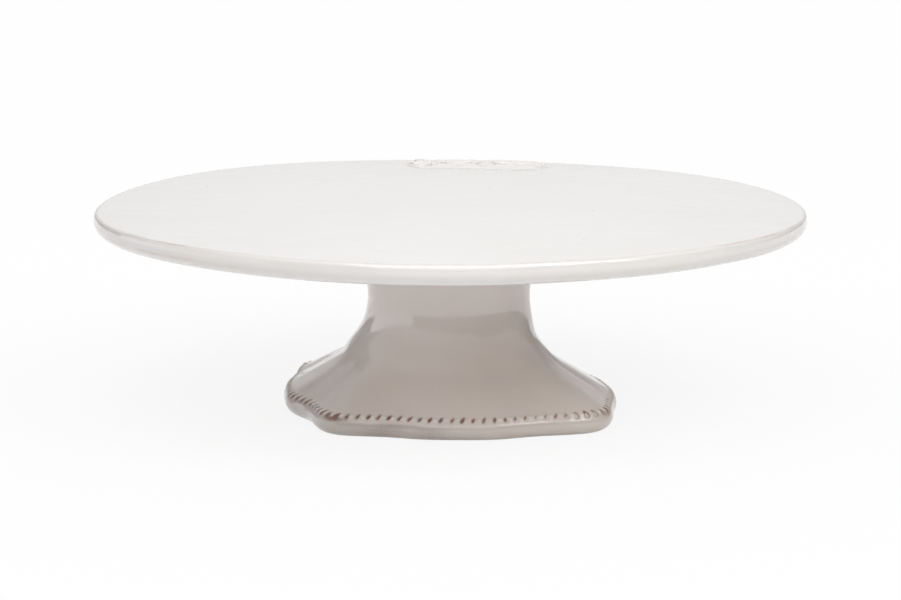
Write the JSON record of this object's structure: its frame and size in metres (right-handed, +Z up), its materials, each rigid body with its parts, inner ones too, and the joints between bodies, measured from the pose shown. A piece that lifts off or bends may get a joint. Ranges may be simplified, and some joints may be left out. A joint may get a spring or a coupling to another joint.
{
  "type": "cake stand",
  "caption": "Low pedestal cake stand in glazed ceramic: flat round plate on a hollow waisted foot with a lobed base, beaded border and a small relief ornament on the rim.",
  "frame": {"origin": "on the table surface, under the centre of the foot and the plate", "axes": "+Z up; the four bows of the lobed foot face +X, +Y, -X and -Y, and its longer diagonal runs from -X +Y to +X -Y; the ornament lies on the rim at 79 degrees from +X towards +Y, behind the front view along +Y"},
  "size_m": [0.318, 0.318, 0.0944],
  "materials": {
    "plate_glaze": "smooth warm-white gloss glaze with faint mottling, rust-brown where it thins on the edge",
    "pedestal_glaze": "glossy greyish cream glaze with brown wash in the creases, bare clay on the foot ring",
    "bead_glaze": "glossy cream glaze with dark brown wash pooled around the beads",
    "ornament_glaze": "cream gloss glaze with rusty wash in the recesses"
  },
  "bodies": {
    "root": {"plate": "plate_glaze", "pedestal": "pedestal_glaze", "luting_ring": "pedestal_glaze", "bead_strip_front": "bead_glaze", "bead_strip_right": "bead_glaze", "bead_strip_back": "bead_glaze", "bead_strip_left": "bead_glaze", "ornament_bed": "ornament_glaze", "ornament_boss": "ornament_glaze", "ornament_leaves": "ornament_glaze", "ornament_ribbon_left": "ornament_glaze", "ornament_ribbon_right": "ornament_glaze"}
  },
  "joints": []
}
